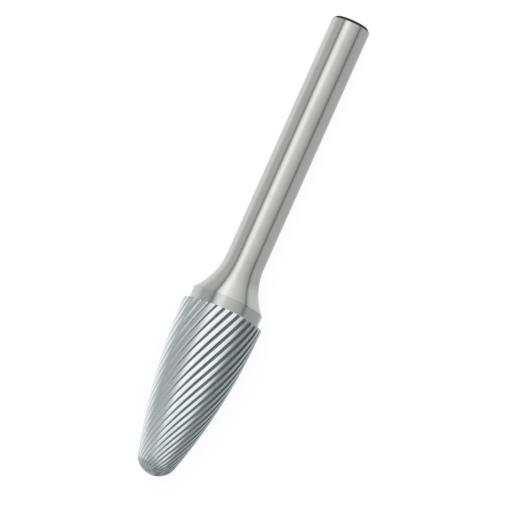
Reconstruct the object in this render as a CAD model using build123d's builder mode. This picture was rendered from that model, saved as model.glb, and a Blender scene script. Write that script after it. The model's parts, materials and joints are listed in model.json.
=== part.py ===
from build123d import *
from math import asinh, atan2, atanh, cos, radians, sin, sqrt, tan
import os

# A carbide burr of tree shape with a radius end: a fluted tungsten carbide head, brazed
# to a steel shank that flares into a collar. Millimetres and degrees.
# It lies as it rests on a bench: on the rim of its shank end and on two teeth at the back
# of the head. +X runs from the shank end to the nose, and Z = 0 is the bench.

# Shank, turned from one bar
shank_diameter = 6.0
plain_length = 39.2
end_chamfer = 0.5
neck_radius = 9.7
neck_angle = 37.0
collar_diameter = 11.2
collar_length = 1.85

# Brazed joint
braze_diameter = 11.1
braze_thickness = 0.1

# Cutting head
head_diameter = 12.75
head_length = 26.1
nose_radius = 3.15

# Teeth: each has a cutting edge, a flat land with a little relief behind it, and a flute
# whose floor lies close under the next cutting edge
tooth_count = 32
helix_angle = 24.3
land_width_angle = 6.8
land_relief_angle = 8.6
flute_depth_ratio = 0.069
rake_setback_angle = 1.15
nose_flat_diameter = 1.1
flank_stations = 13
nose_stations = 9

shank_radius = shank_diameter / 2
collar_radius = collar_diameter / 2
head_radius = head_diameter / 2
tooth_pitch = 360 / tooth_count

# The neck is an arc tangent to the shank, and a cone tangent to the arc
neck_arc_length = neck_radius * sin(radians(neck_angle))
neck_arc_rise = neck_radius * (1 - cos(radians(neck_angle)))
neck_cone_rise = collar_radius - shank_radius - neck_arc_rise
neck_cone_length = neck_cone_rise / tan(radians(neck_angle))
collar_start = plain_length + neck_arc_length + neck_cone_length
braze_start = collar_start + collar_length
head_start = braze_start + braze_thickness

# The flank is one arc, parallel to the axis at the back of the head and tangent to the nose
nose_centre = head_length - nose_radius
flank_radius = (nose_centre**2 + head_radius**2 - nose_radius**2) / (2 * (head_radius - nose_radius))
flank_sweep = atan2(nose_centre, flank_radius - head_radius)
nose_sweep = radians(90) - nose_flat_diameter / 2 / nose_radius

# Lying: a line under the shank's end rim and under two teeth at the back of the head
tooth_low_radius = head_radius * cos(radians(tooth_pitch / 2))
rest_lean = atan2(tooth_low_radius - shank_radius, head_start - end_chamfer)
end_face_reach = (shank_radius - end_chamfer) * sin(rest_lean)
nose_end_distance = head_start + nose_centre + nose_radius * sin(nose_sweep)
nose_reach = nose_end_distance * cos(rest_lean) + nose_flat_diameter / 2 * sin(rest_lean)
shank_end_x = (end_face_reach - nose_reach) / 2
shank_end_z = shank_radius * cos(rest_lean) - end_chamfer * sin(rest_lean)

shank_end = (shank_end_x, 0, shank_end_z)
tool_direction = (cos(rest_lean), 0, sin(rest_lean))
tool_axis = Axis(shank_end, tool_direction)
profile_plane = Plane(shank_end, x_dir=tool_direction, z_dir=(0, -1, 0))
end_plane = Plane(shank_end, x_dir=(-sin(rest_lean), 0, cos(rest_lean)), z_dir=tool_direction)
head_plane = end_plane.offset(head_start)

os.makedirs("parts", exist_ok=True)


# Shank, neck and collar
with BuildPart() as shank:
    with BuildSketch(profile_plane):
        with BuildLine():
            Polyline((braze_start, collar_radius), (braze_start, 0), (0, 0), (0, shank_radius))
            straight = Line((0, shank_radius), (plain_length, shank_radius))
            neck = JernArc(straight @ 1, straight % 1, neck_radius, neck_angle)
            cone = Line(neck @ 1, (collar_start, collar_radius))
            Line(cone @ 1, (braze_start, collar_radius))
        make_face()
    revolve(axis=tool_axis)
    end_rim = shank.edges().filter_by(GeomType.CIRCLE).sort_by(tool_axis)[0]
    chamfer(end_rim, length=end_chamfer)


# Silver solder between the collar and the head
with BuildPart() as braze_joint:
    with BuildSketch(end_plane.offset(braze_start)):
        Circle(braze_diameter / 2)
    extrude(amount=braze_thickness)


def flank_turn(angle):
    """Turn of a tooth, in radians, from the back of the head to a point of the flank arc."""
    waist = 1 - head_radius / flank_radius
    steepness = sqrt((1 + waist) / (1 - waist))
    return 2 / sqrt(1 - waist**2) * atanh(steepness * tan(angle / 2)) * tan(radians(helix_angle))


def nose_turn(angle):
    """Turn of a tooth, in radians, from the back of the head to a point of the nose arc."""
    beyond_flank = asinh(tan(angle)) - asinh(tan(flank_sweep))
    return flank_turn(flank_sweep) + beyond_flank * tan(radians(helix_angle))


def flank_station(angle):
    """Distance from the back of the head, blank radius and tooth turn on the flank."""
    distance = flank_radius * sin(angle)
    radius = head_radius - flank_radius * (1 - cos(angle))
    return distance, radius, flank_turn(angle)


def nose_station(angle):
    """Distance from the back of the head, blank radius and tooth turn on the nose."""
    distance = nose_centre + nose_radius * sin(angle)
    return distance, nose_radius * cos(angle), nose_turn(angle)


def tooth_line(stations, degrees_behind, radius_ratio):
    """Curve that keeps its angle behind a cutting edge and its share of the blank radius."""
    points = []
    for distance, radius, turn in stations:
        direction = turn - radians(degrees_behind)
        reach = radius * radius_ratio
        points.append((reach * cos(direction), reach * sin(direction), distance))
    with BuildLine(head_plane) as line:
        Spline(*points)
    return line.edge()


def end_face(station, outline):
    """Flat toothed face across the head at one station."""
    distance, radius, turn = station
    points = []
    for degrees_behind, radius_ratio in outline:
        direction = turn - radians(degrees_behind)
        reach = radius * radius_ratio
        points.append((reach * cos(direction), reach * sin(direction)))
    with BuildSketch(head_plane.offset(distance)) as section:
        with BuildLine():
            Polyline(*points, close=True)
        make_face()
    return section.sketch.face()


# Fluted carbide head: strips between the tooth lines, closed by a flat face at each end.
# One cutting edge lies half a pitch to each side of the lowest line of the back rim.
heel_ratio = 1 - 2 * sin(radians(land_width_angle / 2)) * tan(radians(land_relief_angle))
tooth_outline = [
    (0, 1),
    (land_width_angle, heel_ratio),
    (tooth_pitch - rake_setback_angle, 1 - flute_depth_ratio),
]
first_edge = 180 + tooth_pitch / 2
head_outline = []
for tooth in range(tooth_count):
    for degrees_behind, radius_ratio in tooth_outline:
        head_outline.append((first_edge + tooth * tooth_pitch + degrees_behind, radius_ratio))

flank_angles = [flank_sweep * k / (flank_stations - 1) for k in range(flank_stations)]
nose_step = (nose_sweep - flank_sweep) / (nose_stations - 1)
nose_angles = [flank_sweep + nose_step * k for k in range(nose_stations)]
runs = [
    [flank_station(angle) for angle in flank_angles],
    [nose_station(angle) for angle in nose_angles],
]

head_faces = [end_face(runs[0][0], head_outline), end_face(runs[-1][-1], head_outline)]
for stations in runs:
    lines = [tooth_line(stations, behind, ratio) for behind, ratio in head_outline]
    for near, far in zip(lines, lines[1:] + lines[:1]):
        head_faces.append(Face.make_surface_from_curves(near, far))

with BuildPart() as cutting_head:
    add(Solid(Shell(head_faces)))


shank.part.label = "shank"
braze_joint.part.label = "braze_joint"
cutting_head.part.label = "cutting_head"
export_step(shank.part, "parts/shank.step")
export_step(braze_joint.part, "parts/braze_joint.step")
export_step(cutting_head.part, "parts/cutting_head.step")
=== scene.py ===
"""Looks of a carbide burr with a tapered, round-nosed head.

The steel shank, the soldered joint and the fluted carbide head each get a finer mesh than
their solids have, built on the tool's own axis, which rises a few degrees from the bench.
Lengths are in metres and angles in radians, unless the text beside them says degrees.
"""

import json
import logging
from dataclasses import dataclass, field
from enum import Enum
from math import asinh, atan, atan2, atanh, cos, hypot, pi, radians, sin, sqrt, tan
from typing import Any, Callable, Sequence

import bpy
from mathutils import Matrix, Vector

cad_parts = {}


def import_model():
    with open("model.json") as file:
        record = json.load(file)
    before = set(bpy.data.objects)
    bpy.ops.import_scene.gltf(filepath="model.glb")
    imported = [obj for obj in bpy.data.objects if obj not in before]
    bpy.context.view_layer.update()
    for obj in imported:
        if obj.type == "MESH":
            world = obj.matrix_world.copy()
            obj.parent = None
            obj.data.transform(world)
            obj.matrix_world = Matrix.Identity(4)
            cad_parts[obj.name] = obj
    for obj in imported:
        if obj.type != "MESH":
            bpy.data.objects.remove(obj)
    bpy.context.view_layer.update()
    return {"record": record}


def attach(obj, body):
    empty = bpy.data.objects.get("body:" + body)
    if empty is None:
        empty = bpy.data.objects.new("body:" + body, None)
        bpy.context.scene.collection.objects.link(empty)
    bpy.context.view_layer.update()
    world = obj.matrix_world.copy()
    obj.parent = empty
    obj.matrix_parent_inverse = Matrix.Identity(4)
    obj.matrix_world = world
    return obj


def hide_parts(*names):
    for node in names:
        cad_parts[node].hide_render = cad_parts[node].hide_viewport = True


MM = 0.001
BODY = "root"
PICTURE_SIDE = 510
HUB_SHARE = 0.5  # where the inner ring of a flat end lies, as a share of its radius
LARGE_FACES_FIRST = 100  # weight at which a normal follows the largest faces beside it
log = logging.getLogger("carbide_burr")

Point2 = tuple[float, float]
Point3 = tuple[float, float, float]
Color = tuple[float, float, float]

WHITE: Color = (1.0, 1.0, 1.0)


@dataclass(frozen=True)
class ToolAxis:
    """The tool's own axis in the row frame: distances run along it from the shank's end face."""

    end: Vector
    along: Vector
    up: Vector
    side: Vector

    @classmethod
    def of_mount(cls, mount: dict[str, Any], end_chamfer: float) -> "ToolAxis":
        """Finds the axis from the mount on the plain shank.

        Args:
            mount: The record's mount, a pin whose axis points from the head to the shank end.
            end_chamfer: Length of the chamfer between the end face and the mount's wall.

        Returns:
            The axis, with its up direction square to it and away from the bench.
        """
        along = -Vector(mount["axis"]).normalized()
        half_length = mount["dims"]["length_mm"] * MM / 2
        end = Vector(mount["pos_m"]) - along * (half_length + end_chamfer)
        side = Vector((0.0, 1.0, 0.0))
        return cls(end, along, along.cross(side), side)

    def place(self, distance: float, reach: float, turn: float) -> Vector:
        """Place of a point given its distance along the axis, its radius and its turn.

        Args:
            distance: Distance from the shank's end face.
            reach: Distance from the axis.
            turn: Angle round the axis, from up, right-handed about the axis.

        Returns:
            The point in the row frame.
        """
        outwards = self.up * cos(turn) - self.side * sin(turn)
        return self.end + self.along * distance + outwards * reach


# ---------------------------------------------------------------------------
# Shader graphs
# ---------------------------------------------------------------------------


class Blend(Enum):
    """How a second color goes over a first."""

    MIX = "MIX"
    MULTIPLY = "MULTIPLY"


@dataclass(frozen=True)
class Grain:
    """Soft noise: its bumps per metre, how many finer layers it has and how strong they are."""

    per_metre: float
    layers: float = 3.0
    strength: float = 0.5


class Link:
    """An output socket and the graph that it belongs to."""

    def __init__(self, graph: "Graph", socket: bpy.types.NodeSocket) -> None:
        """Keeps the graph and the output socket."""
        self.graph = graph
        self.socket = socket


class Number(Link):
    """A socket that carries a number, with arithmetic that adds its Math nodes."""

    def _math(self, operation: str, *others: "Number | float") -> "Number":
        """Adds one Math node that starts with this number.

        Args:
            operation: The node's operation.
            others: Its other operands.

        Returns:
            The result.
        """
        inputs = dict(enumerate((self, *others)))
        node = self.graph.node("ShaderNodeMath", {"operation": operation}, inputs)
        return Number(self.graph, node.outputs[0])

    def __add__(self, other: "Number | float") -> "Number":
        """Sum."""
        return self._math("ADD", other)

    __radd__ = __add__

    def __sub__(self, other: "Number | float") -> "Number":
        """Difference."""
        return self._math("SUBTRACT", other)

    def __rsub__(self, other: float) -> "Number":
        """Difference from a plain number."""
        return self * -1.0 + other

    def __mul__(self, other: "Number | float") -> "Number":
        """Product."""
        return self._math("MULTIPLY", other)

    __rmul__ = __mul__

    def angle_to(self, other: "Number") -> "Number":
        """Angle of the direction with this height and the other's run."""
        return self._math("ARCTAN2", other)

    def ramp(self, start: float, stop: float) -> "Number":
        """Smooth step from 0 at start to 1 at stop, where start may be the larger.

        Args:
            start: Value at which the step is still 0.
            stop: Value from which the step is 1.

        Returns:
            The step.
        """
        settings = {"interpolation_type": "SMOOTHSTEP"}
        inputs = {"Value": self, "From Min": start, "From Max": stop}
        node = self.graph.node("ShaderNodeMapRange", settings, inputs)
        return Number(self.graph, node.outputs[0])


class Arrow(Link):
    """A socket that carries a vector, with arithmetic that adds its Vector Math nodes."""

    def _math(self, operation: str, *others: "Arrow | Vector") -> bpy.types.Node:
        """Adds one Vector Math node that starts with this vector."""
        inputs = dict(enumerate((self, *others)))
        return self.graph.node("ShaderNodeVectorMath", {"operation": operation}, inputs)

    def __add__(self, other: "Arrow | Vector") -> "Arrow":
        """Sum."""
        return Arrow(self.graph, self._math("ADD", other).outputs["Vector"])

    __radd__ = __add__

    def __mul__(self, other: "Arrow | Vector") -> "Arrow":
        """Product, axis by axis."""
        return Arrow(self.graph, self._math("MULTIPLY", other).outputs["Vector"])

    __rmul__ = __mul__

    def dot(self, other: "Arrow | Vector") -> Number:
        """Dot product."""
        return Number(self.graph, self._math("DOT_PRODUCT", other).outputs["Value"])

    def first(self) -> Number:
        """The first of its three numbers."""
        return self.dot(Vector((1.0, 0.0, 0.0)))

    def unit(self) -> "Arrow":
        """The same direction with a length of one."""
        return Arrow(self.graph, self._math("NORMALIZE").outputs["Vector"])


class Graph:
    """The nodes of one material or world."""

    def __init__(self, owner: bpy.types.Material | bpy.types.World) -> None:
        """Empties the owner's node tree and keeps it.

        Args:
            owner: The material or world.
        """
        owner.use_nodes = True
        self.tree = owner.node_tree
        self.tree.nodes.clear()

    def node(
        self,
        kind: str,
        settings: dict[str, Any] | None = None,
        inputs: dict[int | str, Any] | None = None,
    ) -> bpy.types.Node:
        """Adds one node.

        Args:
            kind: The node's type.
            settings: Its properties, which are set first. A ramp's stops are under "stops".
            inputs: The values or links of its sockets, by place or name.

        Returns:
            The node.
        """
        made = self.tree.nodes.new(kind)
        for name, value in (settings or {}).items():
            if name == "stops":
                self._fill_ramp(made.color_ramp, value)
            else:
                setattr(made, name, value)
        for name, value in (inputs or {}).items():
            socket = made.inputs[name]
            link = value.socket if isinstance(value, Link) else value
            if isinstance(link, bpy.types.NodeSocket):
                self.tree.links.new(link, socket)
            else:
                socket.default_value = (*value, 1.0) if socket.type == "RGBA" else value
        return made

    @staticmethod
    def _fill_ramp(ramp: bpy.types.ColorRamp, stops: Sequence[tuple[float, Color]]) -> None:
        """Gives a color ramp its stops.

        Args:
            ramp: The ramp.
            stops: Places from 0 to 1 in rising order, each with its color.
        """
        while len(ramp.elements) > 1:
            ramp.elements.remove(ramp.elements[-1])
        ramp.elements[0].position = stops[0][0]
        ramp.elements[0].color = (*stops[0][1], 1.0)
        for place, color in stops[1:]:
            ramp.elements.new(place).color = (*color, 1.0)

    def position(self) -> Arrow:
        """Place on the surface in the object's own frame, which is the row frame."""
        return Arrow(self, self.node("ShaderNodeTexCoord").outputs["Object"])

    def attribute(self, name: str) -> Arrow:
        """A vector that the mesh keeps at each point."""
        node = self.node("ShaderNodeAttribute", {"attribute_name": name})
        return Arrow(self, node.outputs["Vector"])

    def camera_ray(self) -> Number:
        """1 for what the camera sees directly, and 0 for light on its way."""
        return Number(self, self.node("ShaderNodeLightPath").outputs["Is Camera Ray"])

    def vector(self, *parts: Number) -> Arrow:
        """A vector put together from three numbers."""
        node = self.node("ShaderNodeCombineXYZ", {}, dict(enumerate(parts)))
        return Arrow(self, node.outputs["Vector"])

    def noise(self, at: Arrow, grain: Grain) -> Number:
        """Soft noise between 0 and 1.

        Args:
            at: Where it is read.
            grain: Its size and its finer layers.

        Returns:
            The noise.
        """
        inputs = {
            "Vector": at,
            "Scale": grain.per_metre,
            "Detail": grain.layers,
            "Roughness": grain.strength,
        }
        return Number(self, self.node("ShaderNodeTexNoise", {}, inputs).outputs["Fac"])

    def mix_color(
        self,
        share: Number,
        first: bpy.types.NodeSocket | Color,
        second: bpy.types.NodeSocket | Color,
        blend: Blend = Blend.MIX,
    ) -> bpy.types.NodeSocket:
        """Blends two colors.

        Args:
            share: How much of the second there is.
            first: Color at a share of 0.
            second: Color at a share of 1, or what multiplies the first there.
            blend: How the second goes over the first.

        Returns:
            The socket with the blended color.
        """
        settings = {"data_type": "RGBA", "blend_type": blend.value}
        node = self.node("ShaderNodeMix", settings, {0: share, 6: first, 7: second})
        return node.outputs[2]

    def mix_shader(
        self, share: Number, first: bpy.types.Node, second: bpy.types.Node
    ) -> bpy.types.Node:
        """Blends two shaders.

        Args:
            share: How much of the second there is.
            first: Shader at a share of 0.
            second: Shader at a share of 1.

        Returns:
            The blended shader.
        """
        inputs = {0: share, 1: first.outputs[0], 2: second.outputs[0]}
        return self.node("ShaderNodeMixShader", {}, inputs)

    def bump(self, height: Number, depth: float) -> bpy.types.NodeSocket:
        """Normal of a surface with small dents.

        Args:
            height: Height from 0 to 1.
            depth: What a height of 1 stands for.

        Returns:
            The socket with the normal.
        """
        inputs = {"Strength": 1.0, "Distance": depth, "Height": height}
        return self.node("ShaderNodeBump", {}, inputs).outputs[0]

    def close(self, shader: bpy.types.Node, kind: str = "ShaderNodeOutputMaterial") -> None:
        """Links a shader to the output."""
        self.node(kind, {}, {"Surface": shader.outputs[0]})

    def close_metal(
        self, color: bpy.types.NodeSocket, roughness: Number, normal: bpy.types.NodeSocket
    ) -> None:
        """Adds a bare metal's shader and links it to the output.

        Args:
            color: The metal's color.
            roughness: Its roughness.
            normal: The normal with its small dents.
        """
        inputs = {"Base Color": color, "Metallic": 1.0, "Roughness": roughness, "Normal": normal}
        self.close(self.node("ShaderNodeBsdfPrincipled", {}, inputs))


# ---------------------------------------------------------------------------
# Finishes
# ---------------------------------------------------------------------------


@dataclass(frozen=True)
class GroundSteel:
    """Steel ground between centres: faint rings round the axis, and a collar that was heated."""

    name: str = "ground_steel"
    color: Color = (0.60, 0.60, 0.592)
    worn_color: Color = (0.57, 0.57, 0.565)
    wear: Grain = Grain(260.0, layers=4.0)
    wear_edges: Point2 = (0.4, 0.75)
    heated_tone: Color = (0.88, 0.885, 0.872)
    heat_fade: float = 0.15 * MM
    roughness: float = 0.07
    roughness_swing: float = 0.03
    rings: Grain = Grain(14000.0, strength=0.6)
    ring_drift: float = 0.03  # how fast a ring changes across the axis, against along it
    ring_depth: float = 0.00002 * MM

    def material(self, axis: ToolAxis, collar_start: float) -> bpy.types.Material:
        """Makes the material.

        Args:
            axis: The axis that the rings go round.
            collar_start: Distance along the axis of the collar, which the soldering heated.

        Returns:
            The material.
        """
        made = bpy.data.materials.new(self.name)
        graph = Graph(made)
        place = graph.position()
        distance = place.dot(axis.along) - axis.end.dot(axis.along)
        drift = [place.dot(direction) * self.ring_drift for direction in (axis.side, axis.up)]
        rings = graph.noise(graph.vector(distance, *drift), self.rings)
        wear = graph.noise(place, self.wear).ramp(*self.wear_edges)
        steel = graph.mix_color(wear, self.color, self.worn_color)
        half_fade = self.heat_fade / 2
        heat = distance.ramp(collar_start - half_fade, collar_start + half_fade)
        color = graph.mix_color(heat, steel, self.heated_tone, Blend.MULTIPLY)
        smoothest = self.roughness - self.roughness_swing / 2
        roughness = rings * self.roughness_swing + smoothest
        graph.close_metal(color, roughness, graph.bump(rings, self.ring_depth))
        return made


@dataclass(frozen=True)
class SilverSolder:
    """Silver solder as it flowed: slightly wavy, tarnished in patches."""

    name: str = "silver_solder"
    color: Color = (0.36, 0.35, 0.32)
    tarnish: Color = (0.20, 0.19, 0.17)
    patches: Grain = Grain(900.0)
    patch_edges: Point2 = (0.4, 0.7)
    roughness: float = 0.34
    roughness_swing: float = 0.2
    wave_depth: float = 0.01 * MM

    def material(self) -> bpy.types.Material:
        """Makes the material.

        Returns:
            The material.
        """
        made = bpy.data.materials.new(self.name)
        graph = Graph(made)
        patches = graph.noise(graph.position(), self.patches)
        color = graph.mix_color(patches.ramp(*self.patch_edges), self.color, self.tarnish)
        smoothest = self.roughness - self.roughness_swing / 2
        roughness = patches * self.roughness_swing + smoothest
        graph.close_metal(color, roughness, graph.bump(patches, self.wave_depth))
        return made


class ToothFace(Enum):
    """How dark each part of a tooth is made, as a share of the flute's colour: partly a coarser
    grind and partly painted shade that deepens into each flute.

    One pass of the wheel leaves the floor and the rake, so they are one option of two names.
    """

    # LAND stays bright; larger shares paint shade into the flute's hollow on top of its coarser
    # grind.
    LAND = 0.0
    HEEL = 0.12
    WALL = 0.45
    FLOOR = 1.0
    RAKE = 1.0
    END = 0.6


@dataclass(frozen=True)
class GroundCarbide:
    """Ground tungsten carbide: bright lands, flutes darker from a coarser grind and from painted
    shade in their hollows, and a scuffed nose.
    """

    name: str = "ground_carbide"
    land_color: Color = (0.572, 0.598, 0.611)
    # darker than the lands for the flutes' coarser grind and for painted shade in their hollows
    flute_grind_and_shade_color: Color = (0.25, 0.275, 0.283)
    dull_tone: Color = (0.55, 0.57, 0.58)
    clouds: Grain = Grain(700.0)
    cloud_dullness: float = 0.20
    nose_start: float = 23.5 * MM
    nose_full: float = 24.1 * MM
    nose_dullness: float = 0.25
    pole_full: float = 25.7 * MM
    pole_dullness: float = 0.75
    scuffs: Grain = Grain(1500.0)
    scuff_edges: Point2 = (0.42, 0.60)
    land_roughness: float = 0.22
    flute_roughness: float = 0.30
    roughness_swing: float = 0.06
    lines: Grain = Grain(20000.0, strength=0.6)
    line_drift: float = 0.04  # how fast a line changes along the tooth, against across it
    line_depth: float = 0.00004 * MM

    def material(self) -> bpy.types.Material:
        """Makes the material, which reads the grain, and the share of grind and painted shade,
        that the mesh keeps.

        Returns:
            The material.
        """
        made = bpy.data.materials.new(self.name)
        graph = Graph(made)
        grain = graph.attribute("grain")
        # how far a point lies into a flute, which paints shade there as well as the coarser
        # grind
        flute = graph.attribute("grind_and_painted_shade").first()
        lines = graph.noise(grain * Vector((self.line_drift, 1.0, 1.0)), self.lines)
        distance = grain.first()
        nose = distance.ramp(self.nose_start, self.nose_full)
        pole = distance.ramp(self.nose_full, self.pole_full)
        scuffs = graph.noise(graph.position(), self.scuffs).ramp(*self.scuff_edges)
        dullness = (1 - graph.noise(grain, self.clouds)) * self.cloud_dullness
        dullness += nose * self.nose_dullness + pole * scuffs * self.pole_dullness
        # lands fade to the flute colour, which holds painted shade besides the grind
        ground = graph.mix_color(flute, self.land_color, self.flute_grind_and_shade_color)
        color = graph.mix_color(dullness, ground, self.dull_tone, Blend.MULTIPLY)
        roughness = flute * (self.flute_roughness - self.land_roughness) + self.land_roughness
        roughness += (lines - 0.5) * self.roughness_swing
        graph.close_metal(color, roughness, graph.bump(lines, self.line_depth))
        return made


# ---------------------------------------------------------------------------
# Pieces
# ---------------------------------------------------------------------------


def link_mesh(
    name: str, points: Sequence[Vector], faces: Sequence[tuple[int, ...]]
) -> bpy.types.Object:
    """Makes a mesh object in the row frame.

    Args:
        name: The object's name.
        points: Its points.
        faces: Its faces, as indices of the points.

    Returns:
        The object, linked to the scene, with smooth faces.
    """
    mesh = bpy.data.meshes.new(name)
    mesh.from_pydata(points, [], faces)
    mesh.update(calc_edges=True)
    mesh.shade_smooth()
    made = bpy.data.objects.new(name, mesh)
    bpy.context.scene.collection.objects.link(made)
    return made


def round_corner(
    before: Point2, corner: Point2, after: Point2, radius: float, steps: int = 4
) -> list[Point2]:
    """Rounds one corner of a profile.

    Args:
        before: The point before the corner.
        corner: The corner.
        after: The point after it.
        radius: The arc's radius.
        steps: How many chords the arc has.

    Returns:
        Points along the arc, from the first side to the second.
    """
    to_before, to_after = Vector(before) - Vector(corner), Vector(after) - Vector(corner)
    to_before.normalize()
    to_after.normalize()
    half = to_before.angle(to_after) / 2
    setback = radius / tan(half)
    middle = Vector(corner) + (to_before + to_after).normalized() * (radius / sin(half))
    start = Vector(corner) + to_before * setback - middle
    stop = Vector(corner) + to_after * setback - middle
    sweep = atan2(start.x * stop.y - start.y * stop.x, start.dot(stop))
    points = []
    for step in range(steps + 1):
        spoke = start.copy()
        spoke.rotate(Matrix.Rotation(sweep * step / steps, 2))
        points.append(tuple(middle + spoke))
    return points


def lathe(
    name: str, axis: ToolAxis, profile: Sequence[Point2], segments: int
) -> bpy.types.Object:
    """Turns a profile round the tool's axis.

    Args:
        name: The object's name.
        axis: The axis.
        profile: Distances and radii, from an end on the axis to an end on the axis.
        segments: How many flats there are round the axis.

    Returns:
        The object, whose large flat faces keep their own normals beside a small rounding.
    """
    rings = profile[1:-1]
    points = [axis.place(profile[0][0], 0.0, 0.0)]
    for distance, reach in rings:
        points += [axis.place(distance, reach, 2 * pi * k / segments) for k in range(segments)]
    points.append(axis.place(profile[-1][0], 0.0, 0.0))
    faces = []
    for k in range(segments):
        beside = (k + 1) % segments
        faces.append((0, 1 + beside, 1 + k))
        for ring in range(len(rings) - 1):
            low, high = 1 + ring * segments, 1 + (ring + 1) * segments
            faces.append((low + k, low + beside, high + beside, high + k))
        last = 1 + (len(rings) - 1) * segments
        faces.append((last + k, last + beside, len(points) - 1))
    piece = link_mesh(name, points, faces)
    modifier = piece.modifiers.new("flat_sides", "WEIGHTED_NORMAL")
    modifier.weight = LARGE_FACES_FIRST
    modifier.keep_sharp = True
    return piece


@dataclass
class Shank:
    """The turned and ground bar: plain shank, flared neck and collar."""

    diameter: float = 6.0 * MM
    plain_length: float = 39.2 * MM
    end_chamfer: float = 0.5 * MM
    neck_radius: float = 9.7 * MM
    neck_angle: float = radians(37.0)
    collar_diameter: float = 11.2 * MM
    collar_length: float = 1.85 * MM
    edge_radius: float = 0.05 * MM
    collar_edge_radius: float = 0.12 * MM
    edge_supports: Point2 = (1.5, 3.0)  # rings beside the collar's edges, in edge radii
    segments: int = 288
    plain_steps: int = 8
    neck_steps: int = 28

    @property
    def collar_start(self) -> float:
        """Distance of the collar's back edge.

        Returns:
            The distance, where the cone that is tangent to the neck's arc meets the collar.
        """
        arc_rise = self.neck_radius * (1 - cos(self.neck_angle))
        cone_rise = (self.collar_diameter - self.diameter) / 2 - arc_rise
        arc_length = self.neck_radius * sin(self.neck_angle)
        return self.plain_length + arc_length + cone_rise / tan(self.neck_angle)

    @property
    def length(self) -> float:
        """Distance of the face that is soldered."""
        return self.collar_start + self.collar_length

    def profile(self) -> list[Point2]:
        """Lays out the turned profile.

        Returns:
            Distances and radii from the end face to the soldered face.
        """
        radius, collar = self.diameter / 2, self.collar_diameter / 2
        middle, end_rim = (0.0, 0.0), (0.0, radius - self.end_chamfer)
        plain_start, plain_end = (self.end_chamfer, radius), (self.plain_length, radius)
        points: list[Point2] = [middle, (0.0, end_rim[1] * HUB_SHARE)]
        points += round_corner(middle, end_rim, plain_start, self.edge_radius)
        points += round_corner(end_rim, plain_start, plain_end, self.edge_radius)
        for step in range(1, self.plain_steps + 1):
            points.append((self.plain_length * step / self.plain_steps, radius))
        for step in range(1, self.neck_steps + 1):
            angle = self.neck_angle * step / self.neck_steps
            rise = self.neck_radius * (1 - cos(angle))
            points.append((self.plain_length + self.neck_radius * sin(angle), radius + rise))
        neck_end, back, front = points[-1], (self.collar_start, collar), (self.length, collar)
        points += round_corner(neck_end, back, front, self.collar_edge_radius)
        for radii in self.edge_supports:
            points.append((self.collar_start + self.collar_edge_radius * radii, collar))
        for radii in reversed(self.edge_supports):
            points.append((self.length - self.edge_radius * radii, collar))
        points += round_corner(back, front, (self.length, 0.0), self.edge_radius)
        return points + [(self.length, collar * HUB_SHARE), (self.length, 0.0)]

    def build(self, axis: ToolAxis, finish: GroundSteel) -> bpy.types.Object:
        """Builds and dresses the shank.

        Args:
            axis: The tool's axis.
            finish: The steel.

        Returns:
            The piece, in place of its solid.
        """
        piece = lathe("shank_turned", axis, self.profile(), self.segments)
        piece.data.materials.append(finish.material(axis, self.collar_start))
        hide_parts("shank")
        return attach(piece, BODY)


@dataclass
class SolderedJoint:
    """The thin ring of silver solder between the collar and the head."""

    start: float
    diameter: float = 11.1 * MM
    thickness: float = 0.1 * MM
    hollow: float = 0.02 * MM
    hollow_steps: int = 6
    segments: int = 288

    def profile(self) -> list[Point2]:
        """Lays out the profile, with an outside that is slightly hollow.

        Returns:
            Distances and radii from the collar's side to the head's side.
        """
        radius, stop = self.diameter / 2, self.start + self.thickness
        points: list[Point2] = [(self.start, 0.0), (self.start, radius * HUB_SHARE)]
        for step in range(self.hollow_steps + 1):
            share = step / self.hollow_steps
            reach = radius - self.hollow * sin(pi * share)
            points.append((self.start + self.thickness * share, reach))
        return points + [(stop, radius * HUB_SHARE), (stop, 0.0)]

    def build(self, axis: ToolAxis, finish: SilverSolder) -> bpy.types.Object:
        """Builds and dresses the joint.

        Args:
            axis: The tool's axis.
            finish: The solder.

        Returns:
            The piece, in place of its solid.
        """
        piece = lathe("solder_ring", axis, self.profile(), self.segments)
        piece.data.materials.append(finish.material())
        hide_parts("braze_joint")
        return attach(piece, BODY)


@dataclass(frozen=True)
class Station:
    """One ring of the head: its distance, its crests' radius and its teeth's turn."""

    distance: float
    reach: float
    turn: float


@dataclass(frozen=True)
class ToothPoint:
    """One point of a tooth's outline, so many degrees behind its cutting edge."""

    behind: float
    share: float
    face: ToothFace
    sharp: bool = False


@dataclass
class HeadPoints:
    """Points of the head's mesh, with the grain, and the share of grind and painted shade that
    its finish reads.
    """

    places: list[Vector] = field(default_factory=list)
    grain: list[Point3] = field(default_factory=list)
    grind_and_painted_shade: list[Point3] = field(default_factory=list)

    def add(self, place: Vector, grain: Point3, face: ToothFace) -> None:
        """Adds one point.

        Args:
            place: The point.
            grain: Its distance along the tooth, its place across it and the tooth's own offset.
            face: The part of a tooth that it is on.
        """
        self.places.append(place)
        self.grain.append(grain)
        # share of the flute's colour at this point: coarser grind plus painted shade
        self.grind_and_painted_shade.append((face.value, 0.0, 0.0))

    def keep(self, mesh: bpy.types.Mesh) -> None:
        """Keeps the grain and the grinding at the mesh's points.

        Args:
            mesh: The mesh, which has these points in the same order.
        """
        for name, rows in (("grain", self.grain), ("grind_and_painted_shade", self.grind_and_painted_shade)):
            layer = mesh.attributes.new(name, "FLOAT_VECTOR", "POINT")
            layer.data.foreach_set("vector", [part for row in rows for part in row])


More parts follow.
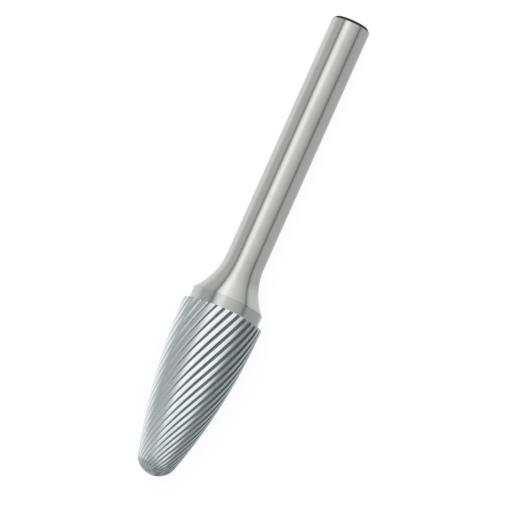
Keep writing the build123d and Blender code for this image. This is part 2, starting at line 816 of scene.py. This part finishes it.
@dataclass
class CuttingHead:
    """The fluted carbide head: flank arc, round nose and spiral teeth."""

    start: float
    diameter: float = 12.75 * MM
    length: float = 26.1 * MM
    nose_radius: float = 3.15 * MM
    nose_flat: float = 1.1 * MM
    tooth_count: int = 32
    helix: float = radians(24.3)
    outline: tuple[ToothPoint, ...] = (
        ToothPoint(0.0, 1.0, ToothFace.LAND, sharp=True),
        ToothPoint(3.3, 0.9944, ToothFace.LAND),
        ToothPoint(4.7, 0.9913, ToothFace.HEEL),
        ToothPoint(6.15, 0.9869, ToothFace.HEEL, sharp=True),
        ToothPoint(7.0, 0.9755, ToothFace.WALL),
        ToothPoint(7.8, 0.9650, ToothFace.WALL),
        ToothPoint(8.5, 0.9545, ToothFace.WALL),
        ToothPoint(9.2, 0.9455, ToothFace.WALL),
        ToothPoint(9.7, 0.9415, ToothFace.FLOOR),
        ToothPoint(10.4, 0.9410, ToothFace.FLOOR),
        ToothPoint(10.6, 0.9470, ToothFace.RAKE),
        ToothPoint(10.95, 0.9720, ToothFace.RAKE),
    )
    fade_start: float = 8.0 * MM
    fade_share: float = 0.34
    nose_fade_share: float = 0.5
    nose_fade_reach: float = 1 / 3
    flank_stations: int = 130
    nose_stations: int = 70

    @property
    def radius(self) -> float:
        """Radius over the crests at the back."""
        return self.diameter / 2

    @property
    def nose_centre(self) -> float:
        """Distance of the nose's centre from the back of the head."""
        return self.length - self.nose_radius

    @property
    def flank_radius(self) -> float:
        """Radius of the flank arc, which is tangent to the nose."""
        square = self.nose_centre**2 + self.radius**2 - self.nose_radius**2
        return square / (2 * (self.radius - self.nose_radius))

    @property
    def flank_sweep(self) -> float:
        """Angle of the flank arc."""
        return atan2(self.nose_centre, self.flank_radius - self.radius)

    @property
    def nose_sweep(self) -> float:
        """Angle of the nose arc, up to the rim of its flat."""
        return pi / 2 - self.nose_flat / 2 / self.nose_radius - self.flank_sweep

    @property
    def pitch(self) -> float:
        """Angle between two teeth, in degrees."""
        return 360 / self.tooth_count

    @property
    def around(self) -> int:
        """How many points go round one ring."""
        return self.tooth_count * len(self.outline)

    def flank_station(self, angle: float) -> Station:
        """Finds a ring of the flank, where the teeth keep one angle to the axis.

        Args:
            angle: Angle along the flank arc, from the back of the head.

        Returns:
            The ring.
        """
        waist = 1 - self.radius / self.flank_radius
        steepness = sqrt((1 + waist) / (1 - waist))
        turn = 2 / sqrt(1 - waist**2) * atanh(steepness * tan(angle / 2)) * tan(self.helix)
        reach = self.radius - self.flank_radius * (1 - cos(angle))
        return Station(self.flank_radius * sin(angle), reach, turn)

    def nose_station(self, angle: float) -> Station:
        """Finds a ring of the nose, where the teeth keep the same angle.

        Args:
            angle: Angle along the nose arc, which is a quarter turn at the pole.

        Returns:
            The ring.
        """
        turn = self.flank_station(self.flank_sweep).turn
        turn += (asinh(tan(angle)) - asinh(tan(self.flank_sweep))) * tan(self.helix)
        distance = self.nose_centre + self.nose_radius * sin(angle)
        return Station(distance, self.nose_radius * cos(angle), turn)

    def stations(self) -> list[Station]:
        """Lays out the rings.

        Returns:
            The rings from the back of the head to the rim of the nose's flat.
        """
        flank_step = self.flank_sweep / (self.flank_stations - 1)
        nose_step = self.nose_sweep / (self.nose_stations - 1)
        made = [self.flank_station(flank_step * k) for k in range(self.flank_stations)]
        for k in range(1, self.nose_stations):
            made.append(self.nose_station(self.flank_sweep + nose_step * k))
        return made

    def fullness(self, station: Station) -> float:
        """Share of a flute's full depth at a ring.

        Args:
            station: The ring.

        Returns:
            The share, which falls gently along the flank and faster over the nose.
        """
        flank_end = self.nose_centre + self.nose_radius * sin(self.flank_sweep)
        along = max(station.distance - self.fade_start, 0.0) / (self.length - self.fade_start)
        over_nose = max(station.distance - flank_end, 0.0) / (self.length - flank_end)
        nose_fade = self.nose_fade_share * min(over_nose / self.nose_fade_reach, 1.0)
        return (1 - self.fade_share * along) * (1 - nose_fade)

    def places_across(self) -> list[float]:
        """Measures the outline along its surface, from the cutting edge.

        Returns:
            The place across the tooth of each point of the outline.
        """
        places = [0.0]
        for one, other in zip(self.outline, self.outline[1:]):
            step = hypot(radians(other.behind - one.behind), other.share - one.share)
            places.append(places[-1] + step * self.radius)
        return places

    def points(self, axis: ToolAxis, stations: Sequence[Station]) -> HeadPoints:
        """Places the points of the rings, and a hub for each of the two ends.

        Args:
            axis: The tool's axis.
            stations: The rings.

        Returns:
            The points, ring by ring and tooth by tooth, with the back and nose hubs last.
        """
        made = HeadPoints()
        across = self.places_across()
        first_edge = pi + radians(self.pitch / 2)
        for station in stations:
            fullness = self.fullness(station)
            for number in range(self.tooth_count):
                for corner, place in zip(self.outline, across):
                    turn = station.turn - first_edge
                    turn -= radians(corner.behind + number * self.pitch)
                    reach = station.reach * (1 - (1 - corner.share) * fullness)
                    point = axis.place(self.start + station.distance, reach, turn)
                    grain = (station.distance, place, number * self.radius)
                    made.add(point, grain, corner.face)
        for station in (stations[0], stations[-1]):
            hub = axis.place(self.start + station.distance, 0.0, 0.0)
            made.add(hub, (station.distance, 0.0, 0.0), ToothFace.END)
        return made

    def faces(self, rings: int) -> list[tuple[int, ...]]:
        """Joins the rings by strips, and closes each end with a fan round its hub.

        Args:
            rings: How many rings there are.

        Returns:
            The faces, as indices of the points.
        """
        made: list[tuple[int, ...]] = []
        pairs = [(k, (k + 1) % self.around) for k in range(self.around)]
        for ring in range(rings - 1):
            low, high = ring * self.around, (ring + 1) * self.around
            made += [(low + k, high + k, high + beside, low + beside) for k, beside in pairs]
        last, back_hub = (rings - 1) * self.around, rings * self.around
        nose_hub = back_hub + 1
        made += [(back_hub, k, beside) for k, beside in pairs]
        made += [(nose_hub, last + beside, last + k) for k, beside in pairs]
        return made

    def mark_sharp_edges(self, mesh: bpy.types.Mesh, rings: int) -> None:
        """Marks the sharp lines along the teeth and the rims of the two ends.

        Args:
            mesh: The head's mesh.
            rings: How many rings it has.
        """
        sharp_corners = {k for k, corner in enumerate(self.outline) if corner.sharp}
        for edge in mesh.edges:
            if max(edge.vertices) >= rings * self.around:
                continue
            (ring, one), (other_ring, other) = (divmod(k, self.around) for k in edge.vertices)
            along_tooth = one == other and one % len(self.outline) in sharp_corners
            end_rim = ring == other_ring and ring in (0, rings - 1)
            edge.use_edge_sharp = along_tooth or end_rim

    def mesh(self, axis: ToolAxis) -> bpy.types.Object:
        """Builds the head's mesh.

        Args:
            axis: The tool's axis.

        Returns:
            The object.
        """
        stations = self.stations()
        points = self.points(axis, stations)
        piece = link_mesh("fluted_head", points.places, self.faces(len(stations)))
        points.keep(piece.data)
        self.mark_sharp_edges(piece.data, len(stations))
        return piece

    def build(self, axis: ToolAxis, finish: GroundCarbide) -> bpy.types.Object:
        """Builds and dresses the head.

        Args:
            axis: The tool's axis.
            finish: The carbide.

        Returns:
            The piece, in place of its solid.
        """
        piece = self.mesh(axis)
        piece.data.materials.append(finish.material())
        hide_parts("cutting_head")
        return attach(piece, BODY)


# ---------------------------------------------------------------------------
# Studio
# ---------------------------------------------------------------------------


@dataclass(frozen=True)
class Viewpoint:
    """Where the camera stands: over the tool, a little towards its nose, turned about its view.

    The anchor is where the back of the head shows, in pixels from the picture's top left.
    """

    focal_pixels: float = 7510.0
    distance: float = 1.108
    lean: float = radians(8.8)
    around: float = radians(3.2)
    roll: float = radians(24.11)
    anchor: Point2 = (221.85, 314.05)
    sensor_width_mm: float = 36.0
    clip_start: float = 0.05
    clip_end: float = 10.0

    def turned(self, axis: ToolAxis) -> ToolAxis:
        """Turns the tool's axis about itself.

        Args:
            axis: The tool's axis.

        Returns:
            The axis with its up direction turned to the camera's side.
        """
        up = axis.up * cos(self.around) + axis.side * sin(self.around)
        side = axis.side * cos(self.around) - axis.up * sin(self.around)
        return ToolAxis(axis.end, axis.along, up, side)

    def towards_camera(self, axis: ToolAxis) -> Vector:
        """Direction from the tool to the camera."""
        return axis.along * sin(self.lean) + self.turned(axis).up * cos(self.lean)

    def build(self, axis: ToolAxis, anchor_distance: float) -> bpy.types.Object:
        """Makes the scene's camera.

        Args:
            axis: The tool's axis.
            anchor_distance: Distance along the axis of the point that shows at the anchor.

        Returns:
            The camera.
        """
        back = self.towards_camera(axis)
        forth = (axis.along - back * sin(self.lean)) / cos(self.lean)
        side = self.turned(axis).side
        right = side * cos(self.roll) - forth * sin(self.roll)
        up = -side * sin(self.roll) - forth * cos(self.roll)
        half = PICTURE_SIDE / 2
        shift_right = (self.anchor[0] - half) / self.focal_pixels * self.distance
        shift_up = (half - self.anchor[1]) / self.focal_pixels * self.distance
        target = axis.end + axis.along * anchor_distance
        data = bpy.data.cameras.new("camera")
        data.sensor_width = self.sensor_width_mm
        data.lens = self.focal_pixels / PICTURE_SIDE * data.sensor_width
        data.clip_start, data.clip_end = self.clip_start, self.clip_end
        camera = bpy.data.objects.new("camera", data)
        facing = Matrix((right, up, back)).transposed().to_4x4()
        place = target + back * self.distance - right * shift_right - up * shift_up
        camera.matrix_world = Matrix.Translation(place) @ facing
        bpy.context.scene.collection.objects.link(camera)
        bpy.context.scene.camera = camera
        return camera


@dataclass(frozen=True)
class Panel:
    """One line of the light tent: its light where a surface leans so many degrees to +Y."""

    lean: float
    light: Color


@dataclass(frozen=True)
class TentPart:
    """Part of the light tent, for surfaces that face so far towards the nose.

    It covers the parts before it from where the share of the tool's axis in a surface's
    normal is begins, and fully from where that share is full.
    """

    begins: float
    full: float
    panels: tuple[Panel, ...]


COOL_BELOW = 1.5  # level from which a cool grey is neutral
COOL_SHIFT: Color = (-0.055, 0.0165, 0.02475)  # what it gains in each color a level below


def grey(level: float) -> Color:
    """A neutral grey."""
    return (level, level, level)


def cool(level: float) -> Color:
    """A grey that turns a little blue as it darkens."""
    depth = max(COOL_BELOW - level, 0.0)
    return tuple(level * (1 + shift * depth) for shift in COOL_SHIFT)


def left_seam(level: float) -> Color:
    """The slightly green grey of the tent's left seam."""
    return (level, level + 0.03, level + 0.02)


def right_seam(level: float) -> Color:
    """The greener grey of the tent's right seam."""
    return (level, level + 0.04, level + 0.03)


def row(tone: Callable[[float], Color], levels: dict[float, float]) -> tuple[Panel, ...]:
    """Panels of one tone, from their leans and levels."""
    return tuple(Panel(lean, tone(level)) for lean, level in levels.items())


@dataclass
class Studio:
    """A light tent with a seam on each side of the tool, a white bench and one lamp."""

    shank_panels: tuple[Panel, ...] = (
        *row(grey, {-90.0: 1.12, -80.0: 1.00, -69.0: 0.93, -57.0: 0.97, -52.0: 0.92}),
        *row(grey, {-47.5: 0.74, -43.0: 0.64, -30.0: 0.62}),
        *row(left_seam, {-27.0: 0.50, -24.0: 0.33, -22.0: 0.40}),
        *row(grey, {-19.0: 0.88, -17.0: 1.12, -12.0: 1.37, -8.0: 1.32}),
        *row(grey, {0.0: 0.92, 9.0: 0.78, 16.0: 0.66, 24.0: 0.51}),
        *row(right_seam, {27.0: 0.30, 29.5: 0.20, 31.5: 0.36}),
        *row(grey, {35.5: 0.56, 44.0: 0.60, 62.0: 0.60, 90.0: 0.72}),
    )
    neck_panels: tuple[Panel, ...] = (
        *row(grey, {-90.0: 1.06, -69.0: 0.90, -57.0: 0.92}),
        *row(grey, {-47.5: 0.74, -43.0: 0.64, -30.0: 0.62}),
        *row(left_seam, {-27.0: 0.50, -24.5: 0.33, -22.5: 0.42}),
        *row(grey, {-19.5: 1.02, -17.0: 1.28, -12.0: 1.46, -8.0: 1.38}),
        *row(grey, {0.0: 1.06, 9.0: 0.88, 16.0: 0.76, 24.0: 0.61}),
        *row(right_seam, {27.0: 0.40, 29.5: 0.28, 31.5: 0.50}),
        *row(grey, {35.5: 0.76, 44.0: 0.82, 62.0: 0.78, 90.0: 0.82}),
    )
    head_panels: tuple[Panel, ...] = (
        *row(cool, {-90.0: 1.66, -64.0: 1.56, -53.0: 1.40, -47.0: 0.84}),
        *row(cool, {-42.0: 0.60, -31.0: 0.61, -25.0: 0.67, -18.0: 0.74, -13.5: 0.94}),
        *row(cool, {-10.0: 1.58, -6.5: 1.86, 2.0: 1.60, 14.0: 1.66, 28.0: 1.60}),
        *row(cool, {31.0: 1.22, 34.0: 1.20, 36.5: 0.92}),
        *row(cool, {40.0: 0.48, 48.0: 0.43, 59.0: 0.55, 70.0: 0.66, 90.0: 0.78}),
    )
    flute_panels: tuple[Panel, ...] = (
        *row(cool, {-90.0: 1.66, -50.0: 1.45, -38.0: 1.35, -28.0: 1.25, -20.0: 1.02}),
        *row(cool, {-12.0: 0.76, 2.0: 0.84, 14.0: 1.05, 22.0: 1.30, 30.0: 1.25}),
        *row(cool, {37.0: 0.80, 46.0: 0.47, 57.0: 0.49, 67.0: 0.66, 90.0: 0.80}),
    )
    nose_panels: tuple[Panel, ...] = (
        *row(cool, {-90.0: 1.05, -50.0: 0.95, -20.0: 0.82, 10.0: 0.74}),
        *row(cool, {35.0: 0.58, 60.0: 0.42, 90.0: 0.40}),
    )
    dark_gap: tuple[Panel, ...] = (Panel(0.0, (0.065, 0.08, 0.077)),)
    brightest: float = 2.0
    bench_size: float = 12.0
    bench_color: float = 0.80
    bench_whiteness: float = 0.90
    lamp_place: Point3 = (-0.25, -0.3, 1.1)
    lamp_size: float = 1.2
    lamp_power: float = 9.0

    def covering_parts(self) -> tuple[TentPart, ...]:
        """Lists the tent's parts that lie over the shank's panels.

        Returns:
            The parts, each covering the ones before it.
        """
        return (
            TentPart(-0.25, -0.50, self.neck_panels),
            TentPart(0.005, 0.03, self.head_panels),
            TentPart(0.26, 0.34, self.flute_panels),
            TentPart(0.48, 0.62, self.nose_panels),
            TentPart(-0.62, -0.68, self.dark_gap),
        )

    def light(
        self, graph: Graph, place: Number, panels: Sequence[Panel]
    ) -> bpy.types.NodeSocket:
        """Light of a set of panels.

        Args:
            graph: The tent's graph.
            place: Place from 0 to 1 over the half turn that the panels are set out on.
            panels: The panels, in rising order of lean.

        Returns:
            The socket with their light, as a share of the brightest.
        """
        stops = []
        for panel in panels:
            shares = tuple(level / self.brightest for level in panel.light)
            stops.append((0.5 + panel.lean / 180, shares))
        return graph.node("ShaderNodeValToRGB", {"stops": stops}, {"Fac": place}).outputs[0]

    def tent(self, axis: ToolAxis, towards_camera: Vector) -> None:
        """Lights the world as the inside of a light tent, and shows it plain white.

        A polished surface that shows a place of the tent at the middle of the view faces half
        way between that place and the camera, so the panels are set out over this direction.

        Args:
            axis: The tool's axis, along which the seams run.
            towards_camera: Direction over the tool that the tent's panels are set out from.
        """
        world = bpy.data.worlds.new("light_tent")
        bpy.context.scene.world = world
        graph = Graph(world)
        direction = Arrow(graph, graph.node("ShaderNodeTexCoord").outputs["Generated"])
        facing = (direction + towards_camera).unit()
        lean = facing.dot(axis.side).angle_to(facing.dot(axis.up))
        forward = facing.dot(axis.along)
        place = lean * (1 / pi) + 0.5
        light = self.light(graph, place, self.shank_panels)
        for part in self.covering_parts():
            share = forward.ramp(part.begins, part.full)
            light = graph.mix_color(share, light, self.light(graph, place, part.panels))
        inputs = {"Color": light, "Strength": self.brightest}
        inside = graph.node("ShaderNodeBackground", {}, inputs)
        plain = graph.node("ShaderNodeBackground", {}, {"Color": WHITE, "Strength": 1.0})
        shown = graph.mix_shader(graph.camera_ray(), inside, plain)
        graph.close(shown, "ShaderNodeOutputWorld")
        world.cycles.sampling_method = "NONE"

    def bench(self) -> bpy.types.Object:
        """Lays the white bench, which shows white and keeps the tool's shadow.

        Returns:
            The bench.
        """
        half = self.bench_size / 2
        signs = ((-1, -1), (1, -1), (1, 1), (-1, 1))
        corners = [Vector((x * half, y * half, 0.0)) for x, y in signs]
        bench = link_mesh("bench", corners, [(0, 1, 2, 3)])
        made = bpy.data.materials.new("white_bench")
        graph = Graph(made)
        paint = graph.node("ShaderNodeBsdfDiffuse", {}, {"Color": grey(self.bench_color)})
        white = graph.node("ShaderNodeEmission", {}, {"Color": WHITE, "Strength": 1.0})
        graph.close(graph.mix_shader(graph.camera_ray() * self.bench_whiteness, paint, white))
        made.cycles.emission_sampling = "NONE"
        bench.data.materials.append(made)
        bench.visible_glossy = False
        return bench

    def lamp(self) -> bpy.types.Object:
        """Hangs the large soft lamp over the bench and turns it to the tool.

        Returns:
            The lamp.
        """
        data = bpy.data.lights.new("overhead_lamp", "AREA")
        data.shape = "SQUARE"
        data.size = self.lamp_size
        data.energy = self.lamp_power
        lamp = bpy.data.objects.new("overhead_lamp", data)
        x, y, height = self.lamp_place
        lamp.location = self.lamp_place
        lamp.rotation_euler = (atan(y / height), atan(x / height), 0.0)
        lamp.visible_glossy = False
        lamp.visible_camera = False
        bpy.context.scene.collection.objects.link(lamp)
        return lamp

    def build(self, axis: ToolAxis, towards_camera: Vector) -> None:
        """Sets the studio up.

        Args:
            axis: The tool's axis.
            towards_camera: Direction over the tool that the tent's panels are set out from.
        """
        bpy.context.scene.view_settings.view_transform = "Standard"
        self.tent(axis, towards_camera)
        self.bench()
        self.lamp()


def main() -> None:
    """Loads the frame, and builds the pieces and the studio."""
    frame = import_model()
    shank = Shank()
    axis = ToolAxis.of_mount(frame["record"]["mounts"][0], shank.end_chamfer)
    joint = SolderedJoint(start=shank.length)
    head = CuttingHead(start=shank.length + joint.thickness)
    pieces = [
        shank.build(axis, GroundSteel()),
        joint.build(axis, SilverSolder()),
        head.build(axis, GroundCarbide()),
    ]
    for piece in pieces:
        log.info("%s: %d faces", piece.name, len(piece.data.polygons))
    viewpoint = Viewpoint()
    viewpoint.build(axis, head.start)
    Studio().build(viewpoint.turned(axis), viewpoint.towards_camera(axis))
    bpy.context.view_layer.update()


if __name__ == "__main__":
    logging.basicConfig(level=logging.INFO)
    main()
